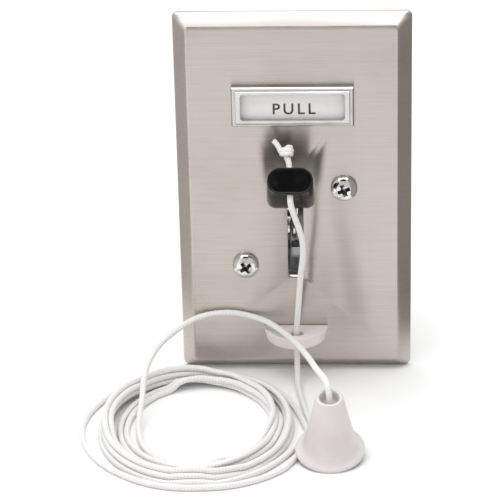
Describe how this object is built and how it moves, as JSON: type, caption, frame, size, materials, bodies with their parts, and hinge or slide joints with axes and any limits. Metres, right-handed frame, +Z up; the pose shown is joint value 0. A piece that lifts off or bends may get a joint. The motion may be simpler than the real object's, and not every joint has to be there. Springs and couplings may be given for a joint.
{
  "type": "pull cord switch",
  "caption": "Wall-mounted pull cord switch: steel wall plate with a label holder, a lever switch with a knob, and a long white cord through a guide to a pull bell.",
  "frame": {"origin": "middle of the wall plate's rear rim, on the wall plane", "axes": "+Z up the plate, +X to the right seen from the front, -Y out of the wall towards the user"},
  "size_m": [0.0939, 0.134, 0.1143],
  "materials": {
    "stainless": "horizontally brushed",
    "nickel": "nickel plated",
    "chrome": "bright chrome plate",
    "zinc_steel": "zinc plated",
    "brass": "dull brass and bronze",
    "black_plastic": "glossy black moulding",
    "white_plastic": "satin white moulding",
    "nylon": "natural nylon",
    "insulator": "brown phenolic sheet",
    "card": "printed card",
    "clear": "clear acrylic",
    "cord": "white braided nylon"
  },
  "bodies": {
    "plate": {"bell_knot": "cord", "box_screw_lower": "zinc_steel", "box_screw_upper": "zinc_steel", "clamp_plate": "zinc_steel", "cord_arch": "cord", "cord_coil": "cord", "cord_drop": "cord", "cord_guide": "white_plastic", "cord_run": "cord", "detent_screw": "zinc_steel", "detent_spring": "zinc_steel", "fixed_contact": "nickel", "fixed_leaf": "brass", "frame_screw_lower": "zinc_steel", "frame_screw_upper": "zinc_steel", "guide_screw_left": "zinc_steel", "guide_screw_right": "zinc_steel", "insulator_lower": "insulator", "insulator_middle": "insulator", "insulator_upper": "insulator", "label_bezel": "chrome", "label_card": "card", "label_clip_left": "zinc_steel", "label_clip_right": "zinc_steel", "label_window": "clear", "mounting_strap": "zinc_steel", "moving_leaf": "brass", "pivot_clip": "zinc_steel", "pivot_pin": "nickel", "plate_screw_lower": "nickel", "plate_screw_upper": "nickel", "pull_bell": "white_plastic", "stack_screw_front": "zinc_steel", "stack_screw_rear": "zinc_steel", "stop_pin_pulled": "zinc_steel", "stop_pin_rest": "zinc_steel", "switch_frame": "zinc_steel", "wall_plate": "stainless"},
    "lever": {"lever": "chrome", "contact_cam": "nylon", "detent_wheel": "brass", "knob": "black_plastic", "top_knot": "cord", "cord_in_knob": "cord"},
    "pusher": {"contact_pusher": "nylon"},
    "moving_contact": {"moving_contact": "nickel"}
  },
  "joints": [
    {"name": "lever_swing", "type": "hinge", "parent": "plate", "child": "lever", "pos_m": [-0.0006, 0.0138, -0.0167], "axis": [1, 0, 0], "range_deg": [0, 56], "deforming": ["cord_run", "moving_leaf", "detent_spring"]},
    {"name": "pusher_lift", "type": "slide", "parent": "plate", "child": "pusher", "axis": [0, 0, 1], "range_m": [0, 0.0015]},
    {"name": "contact_lift", "type": "hinge", "parent": "plate", "child": "moving_contact", "pos_m": [0.0033, 0.033, -0.0041], "axis": [-1, 0, 0], "range_deg": [0, 4.48]}
  ],
  "couplings": [
    {"joint": "pusher_lift", "follows": "lever_swing", "m_per_rad": 0.001534},
    {"joint": "contact_lift", "follows": "lever_swing", "ratio": 0.0799}
  ]
}
